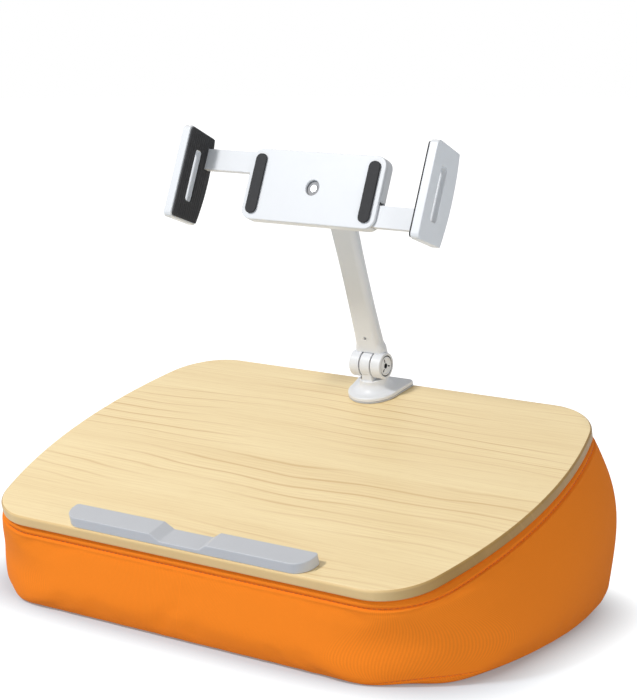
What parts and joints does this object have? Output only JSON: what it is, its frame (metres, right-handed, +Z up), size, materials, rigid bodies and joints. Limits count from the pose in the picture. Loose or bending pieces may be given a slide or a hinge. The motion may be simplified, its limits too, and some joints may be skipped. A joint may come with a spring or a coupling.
{
  "type": "tablet cushion stand",
  "caption": "Tilted wooden lap board on a soft fabric cushion, with a front book ledge and a jointed arm whose sliding jaws grip a tablet.",
  "frame": {"origin": "on the table, under the centre of the board's top face", "axes": "+X to the reader's right, +Y to the rear, away from the reader, +Z up"},
  "size_m": [0.4674, 0.3002, 0.3572],
  "materials": {
    "wood": "pale matt-lacquered bamboo or pine veneer",
    "orange_cloth": "matt ribbed knit",
    "filling": "bead filling",
    "strip": "hook and loop tape",
    "ledge_grey": "satin light grey",
    "white_plastic": "satin white moulding",
    "dark_rubber": "matt",
    "washer": "nylon",
    "steel": "plain screws"
  },
  "bodies": {
    "base": {"lap_board": "wood", "front_ledge": "ledge_grey", "ledge_screw_left": "steel", "ledge_screw_right": "steel", "foot_screw_front": "steel", "foot_screw_rear": "steel", "hook_strip_left": "strip", "hook_strip_right": "strip", "loop_strip_left": "strip", "loop_strip_right": "strip", "cover_top_panel": "orange_cloth", "cover_side_panel": "orange_cloth", "cover_bottom_panel": "orange_cloth", "cushion_filling": "filling", "mount_foot": "white_plastic", "foot_base": "ledge_grey"},
    "arm": {"arm_front_shell": "white_plastic", "arm_rear_shell": "white_plastic", "arm_screw_lower": "steel", "arm_screw_upper": "steel", "base_hinge_bolt": "white_plastic", "base_hinge_nut": "steel", "base_hinge_washer_left": "washer", "base_hinge_washer_right": "washer", "head_hinge_bolt": "white_plastic", "head_hinge_nut": "steel", "head_hinge_washer_left": "washer", "head_hinge_washer_right": "washer"},
    "head": {"swivel_head": "white_plastic", "swivel_bolt": "steel", "swivel_washer": "washer"},
    "holder": {"holder_front_cover": "white_plastic", "holder_rear_cover": "white_plastic", "cover_screw_inner_left": "steel", "cover_screw_inner_right": "steel", "cover_screw_outer_left": "steel", "cover_screw_outer_right": "steel", "rest_pad_left": "dark_rubber", "rest_pad_right": "dark_rubber"},
    "pinion": {"pinion": "washer"},
    "jaw_left": {"jaw_left": "white_plastic", "jaw_left_pad": "dark_rubber"},
    "jaw_right": {"jaw_right": "white_plastic", "jaw_right_pad": "dark_rubber"}
  },
  "joints": [
    {"name": "arm_tilt", "type": "hinge", "parent": "base", "child": "arm", "pos_m": [0, 0.11182, 0.16338], "axis": [1, 0, 0], "range_deg": [-60, 30]},
    {"name": "head_tilt", "type": "hinge", "parent": "arm", "child": "head", "pos_m": [0, 0.05783, 0.30258], "axis": [1, 0, 0], "range_deg": [-60, 45]},
    {"name": "holder_spin", "type": "hinge", "parent": "head", "child": "holder", "pos_m": [0, 0.02681, 0.31524], "axis": [0, -0.9259, 0.3778], "continuous": true},
    {"name": "jaw_left_slide", "type": "slide", "parent": "holder", "child": "jaw_left", "axis": [-1, 0, 0], "range_m": [-0.044, 0.008]},
    {"name": "jaw_right_slide", "type": "slide", "parent": "holder", "child": "jaw_right", "axis": [1, 0, 0], "range_m": [-0.044, 0.008]},
    {"name": "pinion_spin", "type": "hinge", "parent": "holder", "child": "pinion", "pos_m": [0, 0.02681, 0.31524], "axis": [0, -0.9259, 0.3778], "range_deg": [-340, 65]}
  ],
  "couplings": [
    {"joint": "jaw_right_slide", "follows": "jaw_left_slide", "ratio": 1},
    {"joint": "pinion_spin", "follows": "jaw_left_slide", "rad_per_m": 133.33}
  ]
}
